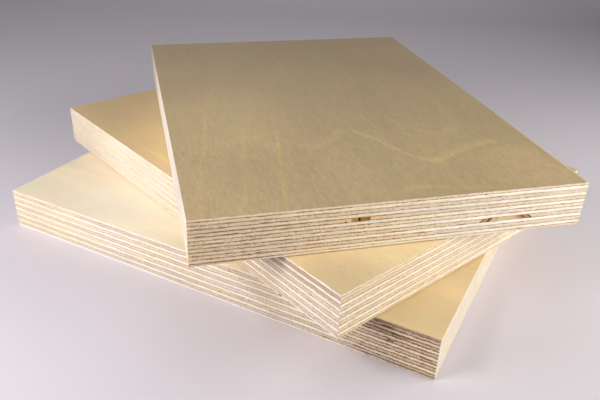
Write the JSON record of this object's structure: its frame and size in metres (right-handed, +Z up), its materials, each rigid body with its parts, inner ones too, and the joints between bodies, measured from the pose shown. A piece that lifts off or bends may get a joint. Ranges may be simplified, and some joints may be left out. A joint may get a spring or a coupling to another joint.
{
  "type": "stack of plywood sheets",
  "caption": "Fanned stack of small multi-ply plywood sheets with sawn edges that show their cross-banded veneers.",
  "frame": {"origin": "middle of the stack's bounding box, on the surface that the bottom sheet lies on", "axes": "+Z up, through the sheets' thickness; +X along the long side of the bottom sheet; +Y across it"},
  "size_m": [0.2464, 0.2476, 0.0546],
  "materials": {
    "face_veneer": "satin",
    "long_grain_veneer": "matte",
    "cross_grain_veneer": "matte"
  },
  "bodies": {
    "root": {"bottom_sheet_ply_01_face": "face_veneer", "bottom_sheet_ply_02_cross": "cross_grain_veneer", "bottom_sheet_ply_03_long": "long_grain_veneer", "bottom_sheet_ply_04_cross": "cross_grain_veneer", "bottom_sheet_ply_05_long": "long_grain_veneer", "bottom_sheet_ply_06_cross": "cross_grain_veneer", "bottom_sheet_ply_07_long": "long_grain_veneer", "bottom_sheet_ply_08_cross": "cross_grain_veneer", "bottom_sheet_ply_09_long": "long_grain_veneer", "bottom_sheet_ply_10_cross": "cross_grain_veneer", "bottom_sheet_ply_11_long": "long_grain_veneer", "bottom_sheet_ply_12_cross": "cross_grain_veneer", "bottom_sheet_ply_13_back": "face_veneer", "middle_sheet_ply_01_face": "face_veneer", "middle_sheet_ply_02_cross": "cross_grain_veneer", "middle_sheet_ply_03_long": "long_grain_veneer", "middle_sheet_ply_04_cross": "cross_grain_veneer", "middle_sheet_ply_05_long": "long_grain_veneer", "middle_sheet_ply_06_cross": "cross_grain_veneer", "middle_sheet_ply_07_long": "long_grain_veneer", "middle_sheet_ply_08_cross": "cross_grain_veneer", "middle_sheet_ply_09_long": "long_grain_veneer", "middle_sheet_ply_10_cross": "cross_grain_veneer", "middle_sheet_ply_11_long": "long_grain_veneer", "middle_sheet_ply_12_cross": "cross_grain_veneer", "middle_sheet_ply_13_back": "face_veneer", "top_sheet_ply_01_face": "face_veneer", "top_sheet_ply_02_cross": "cross_grain_veneer", "top_sheet_ply_03_long": "long_grain_veneer", "top_sheet_ply_04_cross": "cross_grain_veneer", "top_sheet_ply_05_long": "long_grain_veneer", "top_sheet_ply_06_cross": "cross_grain_veneer", "top_sheet_ply_07_long": "long_grain_veneer", "top_sheet_ply_08_cross": "cross_grain_veneer", "top_sheet_ply_09_long": "long_grain_veneer", "top_sheet_ply_10_cross": "cross_grain_veneer", "top_sheet_ply_11_long": "long_grain_veneer", "top_sheet_ply_12_cross": "cross_grain_veneer", "top_sheet_ply_13_back": "face_veneer"}
  },
  "joints": []
}
